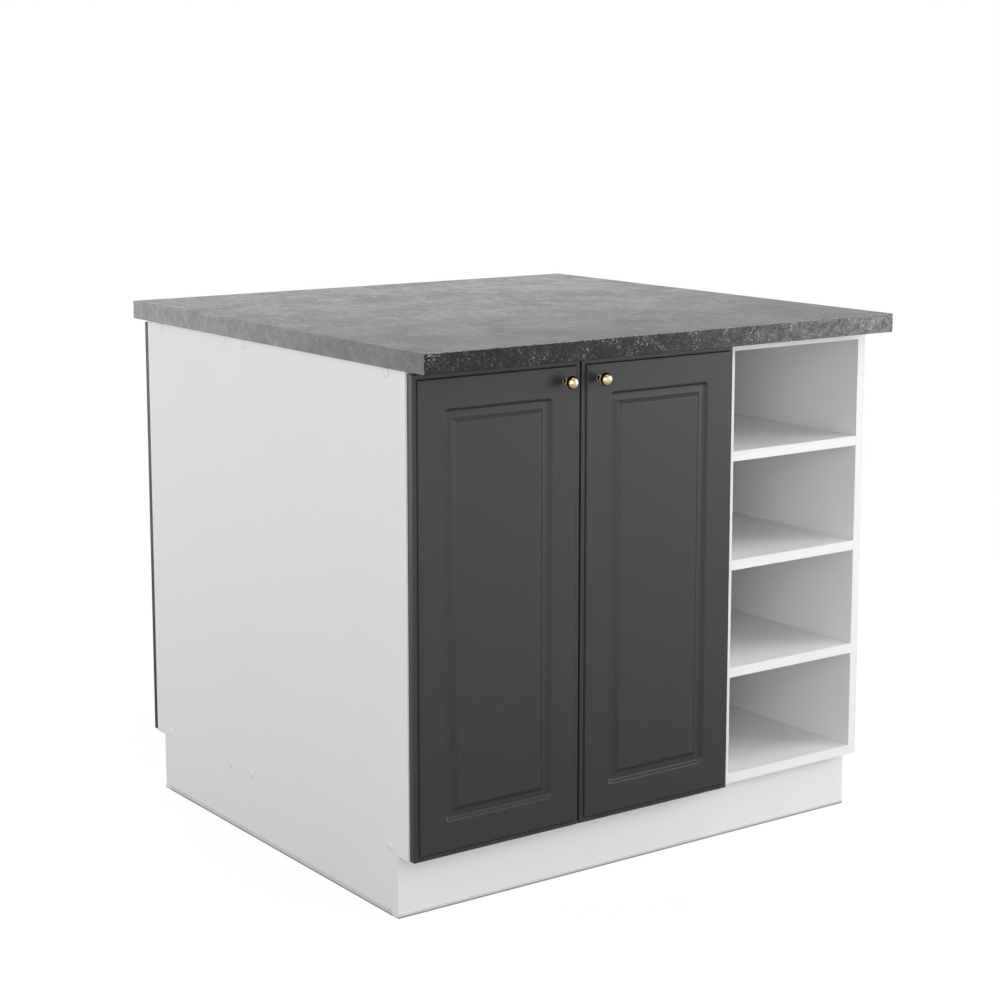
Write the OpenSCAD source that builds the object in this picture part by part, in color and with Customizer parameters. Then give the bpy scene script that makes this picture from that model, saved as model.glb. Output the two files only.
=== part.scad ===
// Kitchen island: two rows of floor cabinets, back to back, under one worktop.
// Front row: a two-door cabinet and an open shelf unit.
// Rear row: a two-door cabinet and a one-door cabinet.
// Millimetres. X runs to the right as seen from the front, Y to the rear, Z up.
// The origin is on the floor, under the middle of the worktop.

/* [Cabinets] */
// Width of each two-door cabinet
wide_w = 600; // [520:10:900]
// Width of the open shelf unit and of the one-door cabinet
narrow_w = 300; // [250:10:450]
// Depth of the front row
front_d = 500; // [400:10:600]
// Depth of the rear row
rear_d = 300; // [280:10:420]
// Height of the cabinets above the toe kick
body_h = 720; // [600:10:800]
// Height of the toe kick
kick_h = 96; // [70:1:150]
// How far the plinth boards lie behind the cabinet fronts
kick_recess = 28; // [15:1:60]

/* [Boards] */
// Thickness of the cabinet boards
board_t = 16; // [14:1:19]
// Thickness of the back panels
back_t = 3; // [2.5:0.5:6]
// Distance from a back panel to the cabinet's rear edge
back_inset = 10; // [6:1:20]
// Depth of the grooves that hold a back panel
groove_d = 7; // [4:0.5:9]
// Thickness of the plinth boards
plinth_t = 16; // [12:1:19]
// Width of the rails across the top of a cabinet
rail_w = 100; // [80:5:115]
// How far the shelves behind doors stand back from the front
shelf_setback = 20; // [5:1:50]

/* [Worktop] */
// Thickness of the worktop
worktop_t = 30; // [24:1:60]
// Overhang past the cabinets at the front
overhang_front = 56; // [46:1:120]
// Overhang past the cabinets at the rear
overhang_rear = 44; // [44:1:120]
// Overhang past the cabinets at each end
overhang_side = 5; // [3:1:60]

/* [Doors] */
// Thickness of a door
door_t = 16; // [16:1:22]
// Gap between a door's edge and the edge of its share of the front
door_gap = 1.5; // [1.5:0.5:3]
// Gap between a door's back and the cabinet's front edge
door_back_gap = 1.5; // [1.5:0.1:3]
// Gap between the doors and the worktop
door_gap_top = 4; // [2:0.5:10]
// Height of a door's lower edge above the toe kick
door_gap_bottom = 1; // [0:0.5:4]
// Width of the low ledge round a door's front
ledge_w = 7.5; // [5:0.5:14]
// Depth of that ledge below the door's face
ledge_d = 2.5; // [1:0.5:3]
// Width of the slope from the ledge up to the face
ledge_slope = 2; // [0.5:0.5:4]
// Distance from a door's edge to its milled groove
groove_inset = 52; // [46:1:70]
// Depth of the groove
milled_d = 4.4; // [2:0.2:4.6]
// Width of the groove's outer slope
groove_wall = 6; // [2:0.5:8]
// Width of the groove's flat floor
groove_floor = 9; // [4:0.5:14]
// Width of the slope up to the centre field
field_slope = 8; // [4:0.5:14]
// Plan radius of the groove's outer corners
groove_corner_r = 7; // [2:0.5:12]

/* [Knobs] */
// How far a knob stands out from the door
knob_h = 26; // [22:0.5:26]
// Radius of a knob's head
knob_r = 10; // [8:0.5:13]
// Radius of a knob's foot
knob_foot_r = 5; // [4.5:0.5:8]
// Radius of a knob's neck
knob_neck_r = 3.4; // [3:0.1:4.4]
// Distance from the door's free edge to the knob
knob_inset = 30; // [26:1:38]
// Distance from the door's top edge to the knob
knob_drop = 30; // [26:1:80]

/* [Hinges] */
// Distance from a door's top or bottom edge to the hinge
hinge_inset = 100; // [80:5:150]
// Radius of a hinge cup
cup_r = 17.5; // [15:0.5:18]
// Depth of a hinge cup
cup_d = 11.5; // [10:0.5:12]
// Distance from the door's edge to the cup's centre
cup_x = 22.5; // [21:0.5:25]
// Distance from the cabinet's front edge to the hinge plate's screws
plate_y = 37; // [32:1:45]

/* [Fasteners] */
// Distance from the front edge to the first corner screw
screw_front = 50; // [30:1:60]
// Distance from the back panel to the last corner screw
screw_rear = 22; // [14:1:40]
// Length of a corner screw
screw_len = 50; // [40:1:50]
// Radius of a corner screw's shank
screw_r = 3.4; // [2.5:0.1:3.5]
// Radius of a cover cap
cap_r = 6.5; // [5.5:0.5:9]
// Height of a cover cap
cap_h = 1.4; // [0.8:0.1:2.4]
// Radius of a shelf pin
pin_r = 2.5; // [2:0.25:3]
// Length of a shelf pin on each side of the board's face
pin_len = 8; // [6:0.5:9]
// Distance from the front edge to the first shelf pin
pin_front = 60; // [55:1:80]
// Distance from the back panel to the last shelf pin
pin_rear = 50; // [30:1:70]
// Distance from the front edge, or the back panel, to a cabinet connector
connector_y = 80; // [75:1:90]
// Distance from the inside of a cabinet's top or bottom to a connector
connector_z = 50; // [35:1:55]
// How far a worktop screw goes into the worktop
bite = 18; // [10:1:20]

/* [Floor strips] */
// Thickness of the strip under a board
strip_t = 1; // [0.5:0.1:2]
// Thickness of the lip on a strip
lip_t = 0.8; // [0.4:0.1:1.5]
// Height of the lip on the plinth boards
plinth_lip_h = 6; // [4:0.5:12]
// Height of the lip on the outer sides
side_lip_h = 9; // [4:0.5:14]

/* [Hidden] */
$fn = 48;
// Radial clearance of a fastener in its hole
fit = 0.1;
// Clearance between pieces that lie loosely side by side
slack = 0.3;
// How far a cut runs past the surface that it opens
past = 1;

total_w = wide_w + narrow_w;
worktop_w = total_w + 2 * overhang_side;
worktop_d = overhang_front + front_d + rear_d + overhang_rear;
front_y = overhang_front - worktop_d / 2;
rear_y = worktop_d / 2 - overhang_rear;
top_z = kick_h + body_h;

// Cabinets: 0 front two-door, 1 open shelf unit, 2 rear two-door, 3 rear one-door.
// Each has its own frame: X to the right as seen from its front, Y from its front edge inwards.
cab_w = [wide_w, narrow_w, wide_w, narrow_w];
cab_d = [front_d, front_d, rear_d, rear_d];
cab_x = [-total_w / 2, -total_w / 2 + wide_w, total_w / 2, total_w / 2 - wide_w];
cab_rear = [false, false, true, true];
cab_door = [true, false, true, true];
open_unit = 1;
door_cabs = [0, 2, 3];

// Doors: 0 front left, 1 front right, 2 rear left, 3 rear centre, 4 rear right,
// left and right as seen from the side that the door faces.
door_cab = [0, 0, 2, 2, 3];
door_hinged_right = [false, true, false, true, true];
door_h = body_h - door_gap_top - door_gap_bottom;
door_z = kick_h + door_gap_bottom;
hinge_zs = [hinge_inset, door_h - hinge_inset];

// Front face of the back panel, from the cabinet's front edge
function back_y(c) = cab_d[c] - back_inset - back_t;
function door_w(k) = (door_cab[k] == 3 ? narrow_w : wide_w / 2) - 2 * door_gap;
function corner_ys(c) = [screw_front, back_y(c) - screw_rear];
function corner_zs() = [kick_h + board_t / 2, top_z - board_t / 2];
function pin_ys(c) = [pin_front, back_y(c) - pin_rear];
function connector_ys(c) = [connector_y, back_y(c) - connector_y];
function connector_zs() = [kick_h + board_t + connector_z, top_z - board_t - connector_z];
function rail_mid_ys(c) = [rail_w / 2, back_y(c) - rail_w / 2];

// Undersides of the three shelves that part the open unit into four equal spaces
open_space_h = (body_h - 5 * board_t) / 4;
function open_shelf_z(i) = kick_h + board_t + open_space_h + i * (open_space_h + board_t);
inner_shelf_z = kick_h + (body_h - board_t) / 2;

// Sides that meet a neighbour: [cabinet, right side?]
joined_sides = [[0, true], [1, false], [2, true], [3, false]];
outer_sides = [[0, false], [1, true], [2, false], [3, true]];
function is_joined(c, right) = len([for (s = joined_sides) if (s == [c, right]) s]) > 0;
function hinge_doors(c, right) =
    [for (k = [0:4]) if (door_cab[k] == c && door_hinged_right[k] == right) k];

// Fastener sizes
screw_head_r = 4.6;
screw_head_h = 3;
screw_sink = 0.3;
socket_r = 2.3;
connector_r = 3.9;
connector_head_r = 6;
connector_head_h = 1.5;
top_screw_r = 2.1;
top_screw_head_r = 4;
top_screw_head_h = 2.5;
small_screw_r = 1.5;
small_head_r = 3.2;
small_head_h = 1.4;
small_screw_len = 10;
bolt_r = 2;
bolt_head_r = 3.8;
bolt_head_h = 2.2;
bolt_reach = 8;
pin_collar_r = 3.8;
pin_collar_t = 1;
cap_rim = 0.3;

// Knob sizes along its axis: foot, neck, flare, collar, throat and domed head
foot_t = 1.6;
foot_bevel = 0.8;
neck_z = 3.4;
collar_r = knob_r - 1.6;
collar_z = knob_h - 12;
collar_under = 0.4;
collar_over = 0.8;
collar_bevel = 0.6;
flare_low = 4;
flare_high = 1.4;
flare_w = 1.6;
throat_r = collar_r - 1.6;
head_z = knob_h - 9.5;
head_under = 0.4;
head_rim = 0.6;
dome_h = 6.5;

// Hinge sizes, in the side's frame: X from the inner face, Y from the front edge
cup_wall = 1;
ear_t = 1.2;
ear_x = 9.5;
ear_z = 24;
ear_r = 6;
arm_half = 8;
arm_rise = 7.5;
arm_t = 6;
arm_len = 64;
arm_bevel = 3;
arm_slot_y = 24;
arm_slot_wall = 1.5;
arm_web = 1;
adjuster_ys = [12, 50];
adjuster_r = 3.2;
adjuster_d = 0.8;
// The nose ends just short of the cup's floor
nose_tip = slack - door_back_gap - (cup_d - cup_wall);
nose_half = 6.5;
nose_back = 2.5;
nose_root = 4;
nose_heel = 1;
nose_bevel = 1.5;
nose_slope = 3.5;
// The arms swing in this much room beside them
nose_play = 2;
plate_t = 2;
plate_half = 23;
plate_half_w = 6;
plate_screw_z = 16;
block_front = 18;
block_len = 42;
block_half = 6;

white = "#ececee";
anthracite = "#4a4b4d";
stone = "#8d8e90";
brass = "#b48f52";
steel = "#c9ccd0";
grey = "#b9bcc0";

// ---- Places ----

module at_cabinet(c) {
    translate([cab_x[c], cab_rear[c] ? rear_y : front_y, 0])
        rotate([0, 0, cab_rear[c] ? 180 : 0])
            children();
}

// X runs from the side's outer face inwards, on both sides of a cabinet
module at_side(c, right) {
    at_cabinet(c)
        translate([right ? cab_w[c] : 0, 0, 0])
            mirror([right ? 1 : 0, 0, 0])
                children();
}

// X runs from the hinge edge, Y from the door's face to its back, Z from its lower edge
module at_door(k) {
    at_side(door_cab[k], door_hinged_right[k])
        translate([door_gap, -door_back_gap - door_t, door_z])
            children();
}

// ---- Cuts shared by the boards of a cabinet, in the side's frame ----

module corner_screw_cuts(c) {
    for (y = corner_ys(c), z = corner_zs()) {
        translate([-past, y, z])
            rotate([0, 90, 0])
                cylinder(r = screw_r + fit, h = screw_len + 2 * past);
        translate([-past, y, z])
            rotate([0, 90, 0])
                cylinder(r = screw_head_r + fit, h = screw_sink + screw_head_h + fit + past);
    }
}

module pin_cuts(c) {
    for (y = pin_ys(c))
        translate([board_t - pin_len - fit, y, inner_shelf_z - pin_r])
            rotate([0, 90, 0])
                cylinder(r = pin_r + fit, h = pin_len + fit + past);
}

module at_hidden_pins() {
    for (y = pin_ys(open_unit), i = [0:2])
        translate([board_t, y, open_shelf_z(i) + board_t / 2])
            rotate([0, 90, 0])
                children();
}

module hidden_pin_cuts() {
    at_hidden_pins()
        translate([0, 0, -pin_len - fit])
            cylinder(r = pin_r + fit, h = 2 * (pin_len + fit));
}

module connector_cuts(c) {
    for (y = connector_ys(c), z = connector_zs())
        translate([-past, y, z])
            rotate([0, 90, 0])
                cylinder(r = connector_r + fit, h = board_t + 2 * past);
}

module plate_screw_cuts() {
    for (z = hinge_zs, s = [-1, 1])
        translate([board_t - small_screw_len - fit, plate_y, door_z + z + s * plate_screw_z])
            rotate([0, 90, 0])
                cylinder(r = small_screw_r + fit, h = small_screw_len + fit + past);
}

// ---- Boards of a cabinet ----

module side_board(c, right) {
    foot_y = kick_recess + plinth_t;
    color(white)
        at_side(c, right)
            difference() {
                translate([0, 0, strip_t])
                    cube([board_t, cab_d[c], top_z - strip_t]);
                translate([-past, -past, strip_t - past])
                    cube([board_t + 2 * past, foot_y + past, kick_h - strip_t + past]);
                translate([board_t - groove_d, back_y(c), kick_h])
                    cube([groove_d + past, back_t + fit, body_h + past]);
                corner_screw_cuts(c);
                if (cab_door[c])
                    pin_cuts(c);
                else
                    hidden_pin_cuts();
                if (is_joined(c, right))
                    connector_cuts(c);
                if (len(hinge_doors(c, right)) > 0)
                    plate_screw_cuts();
            }
}

module both_sides(c) {
    at_side(c, false)
        children();
    at_side(c, true)
        children();
}

module bottom_board(c) {
    color(white)
        difference() {
            at_cabinet(c)
                translate([board_t, 0, kick_h])
                    cube([cab_w[c] - 2 * board_t, back_y(c), board_t]);
            both_sides(c)
                corner_screw_cuts(c);
        }
}

// Places of the worktop screws over a cabinet, in the cabinet's frame
module at_worktop_screws(c) {
    at_cabinet(c)
        for (x = [cab_w[c] / 4, cab_w[c] * 3 / 4], y = rail_mid_ys(c))
            translate([x, y, top_z - board_t])
                children();
}

module worktop_screw_cuts(c) {
    at_worktop_screws(c)
        translate([0, 0, -past])
            cylinder(r = top_screw_r + fit, h = board_t + bite + fit + past);
}

module top_rails(c) {
    color(white)
        difference() {
            at_cabinet(c)
                for (y = [0, back_y(c) - rail_w])
                    translate([board_t, y, top_z - board_t])
                        cube([cab_w[c] - 2 * board_t, rail_w, board_t]);
            both_sides(c)
                corner_screw_cuts(c);
            worktop_screw_cuts(c);
        }
}

module top_board(c) {
    color(white)
        difference() {
            at_cabinet(c)
                translate([board_t, 0, top_z - board_t])
                    cube([cab_w[c] - 2 * board_t, back_y(c), board_t]);
            both_sides(c)
                corner_screw_cuts(c);
            worktop_screw_cuts(c);
        }
}

module back_panel(c) {
    edge = board_t - groove_d + slack;
    color(white)
        at_cabinet(c)
            translate([edge, back_y(c), kick_h])
                cube([cab_w[c] - 2 * edge, back_t, body_h]);
}

// A shelf behind doors lies on pins
module loose_shelf(c) {
    color(white)
        at_cabinet(c)
            translate([board_t + pin_collar_t, shelf_setback, inner_shelf_z])
                cube([cab_w[c] - 2 * (board_t + pin_collar_t), back_y(c) - shelf_setback, board_t]);
}

// A shelf of the open unit is held by pins in its ends
module fixed_shelf(i) {
    color(white)
        difference() {
            at_cabinet(open_unit)
                translate([board_t, 0, open_shelf_z(i)])
                    cube([cab_w[open_unit] - 2 * board_t, back_y(open_unit), board_t]);
            both_sides(open_unit)
                hidden_pin_cuts();
        }
}

module plinth_board(c) {
    color(white)
        at_cabinet(c)
            translate([0, kick_recess, strip_t])
                cube([cab_w[c], plinth_t, kick_h - strip_t]);
}

// ---- Worktop ----

module worktop() {
    color(stone)
        difference() {
            translate([-worktop_w / 2, -worktop_d / 2, top_z])
                cube([worktop_w, worktop_d, worktop_t]);
            for (c = [0:3])
                worktop_screw_cuts(c);
        }
}

// ---- Doors ----

// A block with four sloping sides, from an inset at depth y0 to another at depth y1
module sloped_block(w, h, inset0, inset1, y0, y1) {
    root = y0 > y1 ? y0 + past : y0 - past;
    intersection() {
        linear_extrude(h)
            polygon([[inset0, root], [inset0, y0], [inset1, y1],
                     [w - inset1, y1], [w - inset0, y0], [w - inset0, root]]);
        translate([w, 0, 0])
            rotate([0, -90, 0])
                linear_extrude(w)
                    polygon([[inset0, root], [inset0, y0], [inset1, y1],
                             [h - inset1, y1], [h - inset0, y0], [h - inset0, root]]);
    }
}

module rounded_rect(w, h, r) {
    translate([r, 0])
        square([w - 2 * r, h]);
    translate([0, r])
        square([w, h - 2 * r]);
    for (x = [r, w - r], y = [r, h - r])
        translate([x, y])
            circle(r);
}

// Sharp inner corners, and outer corners rounded in plan
module panel_groove(w) {
    foot = groove_inset + groove_wall + groove_floor;
    difference() {
        intersection() {
            sloped_block(w, door_h, groove_inset, groove_inset + groove_wall, 0, milled_d);
            translate([groove_inset, milled_d + past, groove_inset])
                rotate([90, 0, 0])
                    linear_extrude(milled_d + 3 * past)
                        rounded_rect(w - 2 * groove_inset, door_h - 2 * groove_inset, groove_corner_r);
        }
        sloped_block(w, door_h, foot, foot + field_slope, milled_d, 0);
    }
}

// Axes of the holes in a door's back: the cups, their screws and the knob's bolt
module at_cups() {
    for (z = hinge_zs)
        translate([cup_x, door_t, z])
            rotate([90, 0, 0])
                children();
}

module at_ear_screws() {
    for (z = hinge_zs, s = [-1, 1])
        translate([cup_x + ear_x, door_t, z + s * ear_z])
            rotate([90, 0, 0])
                children();
}

module at_knob(k) {
    translate([door_w(k) - knob_inset, 0, door_h - knob_drop])
        rotate([90, 0, 0])
            children();
}

module door_leaf(k) {
    w = door_w(k);
    color(anthracite)
        at_door(k)
            difference() {
                union() {
                    translate([0, ledge_d, 0])
                        cube([w, door_t - ledge_d, door_h]);
                    sloped_block(w, door_h, ledge_w, ledge_w + ledge_slope, ledge_d, 0);
                }
                panel_groove(w);
                at_cups()
                    translate([0, 0, -past])
                        cylinder(r = cup_r + fit, h = cup_d + fit + past);
                at_ear_screws()
                    translate([0, 0, -past])
                        cylinder(r = small_screw_r + fit, h = small_screw_len + fit + past);
                at_knob(k)
                    translate([0, 0, -door_t - past])
                        cylinder(r = bolt_r + fit, h = door_t + 2 * past);
            }
}

// A quarter of an ellipse, from the rim of the knob's head to its tip
function dome_arc(n) = [for (i = [0:n]) [knob_r * cos(90 * i / n), knob_h - dome_h + dome_h * sin(90 * i / n)]];

module knob(k) {
    outline = concat(
        [[0, 0], [knob_foot_r, 0], [knob_foot_r, foot_t], [knob_foot_r - foot_bevel, foot_t + foot_bevel]],
        [[knob_neck_r, neck_z], [knob_neck_r, collar_z - flare_low]],
        [[knob_neck_r + flare_w, collar_z - flare_high], [collar_r, collar_z - collar_under]],
        [[collar_r, collar_z + collar_over], [throat_r, collar_z + collar_over + collar_bevel]],
        [[throat_r, head_z - head_under], [knob_r - head_rim, head_z + head_rim]],
        dome_arc(8)
    );
    color(brass)
        at_door(k)
            at_knob(k)
                difference() {
                    rotate_extrude()
                        polygon(outline);
                    translate([0, 0, -past])
                        cylinder(r = bolt_r + fit, h = bolt_reach + fit + past);
                }
}

// ---- Hinges ----

module hinge_cups(k) {
    color(steel)
        at_door(k)
            at_cups()
                hinge_cup();
}

// The cup opens towards -Z here, and its ears lie on the door's back
module hinge_cup() {
    inner_r = cup_r - cup_wall;
    slot = arm_half + nose_play;
    difference() {
        union() {
            cylinder(r = cup_r, h = cup_d);
            for (s = [-1, 1])
                translate([ear_x, s * ear_z, -ear_t])
                    cylinder(r = ear_r, h = ear_t);
            for (s = [-1, 1])
                translate([ear_x - ear_r, s * (slot + ear_z) / 2 - (ear_z - slot) / 2, -ear_t])
                    cube([2 * ear_r, ear_z - slot, ear_t]);
        }
        translate([0, 0, -ear_t - past])
            cylinder(r = inner_r, h = ear_t + past + cup_d - cup_wall);
        for (s = [-1, 1])
            translate([ear_x, s * ear_z, -ear_t - past])
                cylinder(r = small_screw_r + fit, h = ear_t + 2 * past);
    }
}

module door_screws(k) {
    color(steel)
        at_door(k) {
            at_ear_screws() {
                translate([0, 0, -ear_t])
                    cylinder(r = small_screw_r, h = small_screw_len + ear_t);
                translate([0, 0, -ear_t - small_head_h])
                    cylinder(r = small_head_r, h = small_head_h);
            }
            at_knob(k) {
                translate([0, 0, -door_t])
                    cylinder(r = bolt_r, h = door_t + bolt_reach);
                translate([0, 0, -door_t - bolt_head_h])
                    cylinder(r = bolt_head_r, h = bolt_head_h);
            }
        }
}

// X from the side's inner face, Y from the cabinet's front edge, Z from the hinge's middle
module at_hinges() {
    for (k = [0:4], z = hinge_zs)
        at_side(door_cab[k], door_hinged_right[k])
            translate([board_t, 0, door_z + z])
                children();
}

module hinge_arms() {
    top = arm_rise + arm_t;
    color(steel)
        at_hinges() {
            difference() {
                translate([0, 0, -arm_half])
                    linear_extrude(2 * arm_half)
                        polygon([[arm_rise, arm_len], [top, arm_len], [top, 0], [arm_rise, arm_bevel]]);
                translate([arm_rise - past, arm_slot_y, -arm_half + arm_slot_wall])
                    cube([arm_t - arm_web + past, arm_len, 2 * (arm_half - arm_slot_wall)]);
            }
            translate([0, 0, -nose_half])
                linear_extrude(2 * nose_half)
                    polygon([[top, nose_root], [top, nose_tip + nose_bevel], [top - nose_bevel, nose_tip],
                             [arm_rise + nose_heel, nose_tip], [arm_rise - nose_back, nose_tip + nose_slope],
                             [arm_rise - nose_back, -nose_heel], [arm_rise, nose_root]]);
            for (y = adjuster_ys)
                translate([top - past, y, 0])
                    rotate([0, 90, 0])
                        cylinder(r = adjuster_r, h = past + adjuster_d);
        }
}

module hinge_plates() {
    color(steel)
        at_hinges()
            difference() {
                union() {
                    translate([0, plate_y - plate_half_w, -plate_half])
                        cube([plate_t, 2 * plate_half_w, 2 * plate_half]);
                    translate([0, plate_y - block_front, -block_half])
                        cube([arm_rise, block_len, 2 * block_half]);
                }
                for (s = [-1, 1])
                    translate([-past, plate_y, s * plate_screw_z])
                        rotate([0, 90, 0])
                            cylinder(r = small_screw_r + fit, h = plate_t + 2 * past);
            }
}

module hinge_plate_screws() {
    color(steel)
        at_hinges()
            for (s = [-1, 1])
                translate([plate_t, plate_y, s * plate_screw_z])
                    rotate([0, 90, 0]) {
                        translate([0, 0, -plate_t - small_screw_len])
                            cylinder(r = small_screw_r, h = plate_t + small_screw_len);
                        cylinder(r = small_head_r, h = small_head_h);
                    }
}

// ---- Fasteners and trim ----

module corner_screws() {
    color(steel)
        for (c = [0:3])
            both_sides(c)
                for (y = corner_ys(c), z = corner_zs())
                    translate([screw_sink, y, z])
                        rotate([0, 90, 0])
                            difference() {
                                union() {
                                    cylinder(r = screw_head_r, h = screw_head_h);
                                    cylinder(r = screw_r, h = screw_len - screw_sink);
                                }
                                translate([0, 0, -past])
                                    cylinder(r = socket_r, h = past + screw_head_h, $fn = 6);
                            }
}

module cover_caps() {
    steps = 5;
    outline = concat(
        [[0, 0], [cap_r, 0]],
        [for (i = [0:steps]) [cap_r * cos(90 * i / steps), cap_rim + (cap_h - cap_rim) * sin(90 * i / steps)]]
    );
    color(white)
        for (side = outer_sides)
            at_side(side[0], side[1])
                for (y = corner_ys(side[0]), z = corner_zs())
                    translate([0, y, z])
                        rotate([0, -90, 0])
                            rotate_extrude()
                                polygon(outline);
}

module shelf_pins() {
    color(steel) {
        for (c = door_cabs)
            both_sides(c)
                for (y = pin_ys(c))
                    translate([board_t, y, inner_shelf_z - pin_r])
                        rotate([0, 90, 0])
                            collared_pin();
        both_sides(open_unit)
            at_hidden_pins()
                plain_pin();
    }
}

module plain_pin() {
    translate([0, 0, -pin_len])
        cylinder(r = pin_r, h = 2 * pin_len);
}

// The collar is cut flat above, to stay clear of the shelf
module collared_pin() {
    plain_pin();
    intersection() {
        cylinder(r = pin_collar_r, h = pin_collar_t - fit);
        translate([-pin_r + fit, -pin_collar_r, 0])
            cube([2 * pin_collar_r, 2 * pin_collar_r, pin_collar_t]);
    }
}

module cabinet_connectors() {
    color(steel)
        for (side = [joined_sides[0], joined_sides[2]])
            at_side(side[0], side[1])
                for (y = connector_ys(side[0]), z = connector_zs())
                    translate([0, y, z])
                        rotate([0, 90, 0]) {
                            translate([0, 0, -board_t])
                                cylinder(r = connector_r, h = 2 * board_t);
                            for (x = [-board_t - connector_head_h, board_t])
                                translate([0, 0, x])
                                    cylinder(r = connector_head_r, h = connector_head_h);
                        }
}

module worktop_screws() {
    color(steel)
        for (c = [0:3])
            at_worktop_screws(c) {
                cylinder(r = top_screw_r, h = board_t + bite);
                translate([0, 0, -top_screw_head_h])
                    cylinder(r = top_screw_head_r, h = top_screw_head_h);
            }
}

module floor_strips() {
    foot_y = kick_recess + plinth_t;
    color(grey) {
        for (c = [0, 2])
            at_cabinet(c)
                translate([0, kick_recess, 0]) {
                    cube([total_w, plinth_t, strip_t]);
                    translate([0, -lip_t, 0])
                        cube([total_w, lip_t, plinth_lip_h]);
                }
        for (c = [0:3])
            both_sides(c)
                translate([slack, foot_y + slack, 0])
                    cube([board_t - slack, cab_d[c] - foot_y - 2 * slack, strip_t]);
        for (side = outer_sides)
            at_side(side[0], side[1])
                translate([-lip_t, foot_y + slack, 0]) {
                    cube([lip_t + slack, cab_d[side[0]] - foot_y - 2 * slack, strip_t]);
                    cube([lip_t, cab_d[side[0]] - foot_y - 2 * slack, side_lip_h]);
                }
    }
}

worktop();

side_board(0, false);  // front_cabinet_left_side
side_board(0, true);  // front_cabinet_right_side
bottom_board(0);  // front_cabinet_bottom
top_rails(0);  // front_cabinet_rails
back_panel(0);  // front_cabinet_back
loose_shelf(0);  // front_cabinet_shelf

side_board(1, false);  // shelf_unit_left_side
side_board(1, true);  // shelf_unit_right_side
bottom_board(1);  // shelf_unit_bottom
top_board(1);  // shelf_unit_top
back_panel(1);  // shelf_unit_back
fixed_shelf(0);  // shelf_unit_lower_shelf
fixed_shelf(1);  // shelf_unit_middle_shelf
fixed_shelf(2);  // shelf_unit_upper_shelf

side_board(2, false);  // rear_wide_left_side
side_board(2, true);  // rear_wide_right_side
bottom_board(2);  // rear_wide_bottom
top_rails(2);  // rear_wide_rails
back_panel(2);  // rear_wide_back
loose_shelf(2);  // rear_wide_shelf

side_board(3, false);  // rear_narrow_left_side
side_board(3, true);  // rear_narrow_right_side
bottom_board(3);  // rear_narrow_bottom
top_rails(3);  // rear_narrow_rails
back_panel(3);  // rear_narrow_back
loose_shelf(3);  // rear_narrow_shelf

plinth_board(0);  // front_wide_plinth
plinth_board(1);  // front_narrow_plinth
plinth_board(2);  // rear_wide_plinth
plinth_board(3);  // rear_narrow_plinth

door_leaf(0);  // front_left_door
door_leaf(1);  // front_right_door
door_leaf(2);  // rear_left_door
door_leaf(3);  // rear_centre_door
door_leaf(4);  // rear_right_door

knob(0);  // front_left_knob
knob(1);  // front_right_knob
knob(2);  // rear_left_knob
knob(3);  // rear_centre_knob
knob(4);  // rear_right_knob

hinge_cups(0);  // front_left_hinge_cups
hinge_cups(1);  // front_right_hinge_cups
hinge_cups(2);  // rear_left_hinge_cups
hinge_cups(3);  // rear_centre_hinge_cups
hinge_cups(4);  // rear_right_hinge_cups

door_screws(0);  // front_left_door_screws
door_screws(1);  // front_right_door_screws
door_screws(2);  // rear_left_door_screws
door_screws(3);  // rear_centre_door_screws
door_screws(4);  // rear_right_door_screws

hinge_arms();
hinge_plates();
hinge_plate_screws();
corner_screws();
cover_caps();
shelf_pins();
cabinet_connectors();
worktop_screws();
floor_strips();
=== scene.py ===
"""Looks of a free-standing kitchen island.

White boards, milled anthracite doors, brass knobs and a stone-look worktop. Everything is in metres in the
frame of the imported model: X to the right as seen from the front, Y to the rear, Z up, the origin on the
floor under the middle of the worktop.
"""

import math

import bmesh
import bpy
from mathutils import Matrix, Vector


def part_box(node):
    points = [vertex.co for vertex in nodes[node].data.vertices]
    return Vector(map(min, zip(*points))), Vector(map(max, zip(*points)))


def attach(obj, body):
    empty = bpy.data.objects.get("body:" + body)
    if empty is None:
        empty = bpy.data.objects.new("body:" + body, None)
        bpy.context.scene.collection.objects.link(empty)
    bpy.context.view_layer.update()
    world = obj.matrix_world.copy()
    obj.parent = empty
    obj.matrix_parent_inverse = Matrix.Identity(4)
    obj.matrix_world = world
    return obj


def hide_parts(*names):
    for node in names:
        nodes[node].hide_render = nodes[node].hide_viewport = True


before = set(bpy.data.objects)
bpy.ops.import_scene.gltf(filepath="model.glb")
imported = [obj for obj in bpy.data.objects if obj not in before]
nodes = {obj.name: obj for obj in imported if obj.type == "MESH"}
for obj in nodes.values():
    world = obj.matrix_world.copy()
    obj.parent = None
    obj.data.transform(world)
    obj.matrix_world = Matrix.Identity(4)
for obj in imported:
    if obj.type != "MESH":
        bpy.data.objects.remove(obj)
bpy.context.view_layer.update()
scene = bpy.context.scene

MM = 0.001
TINY = 0.001 * MM
DOORS = ["front_left", "front_right", "rear_left", "rear_centre", "rear_right"]
CABINETS = ["front_cabinet", "shelf_unit", "rear_wide", "rear_narrow"]


# ---------------------------------------------------------------- node helpers

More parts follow.
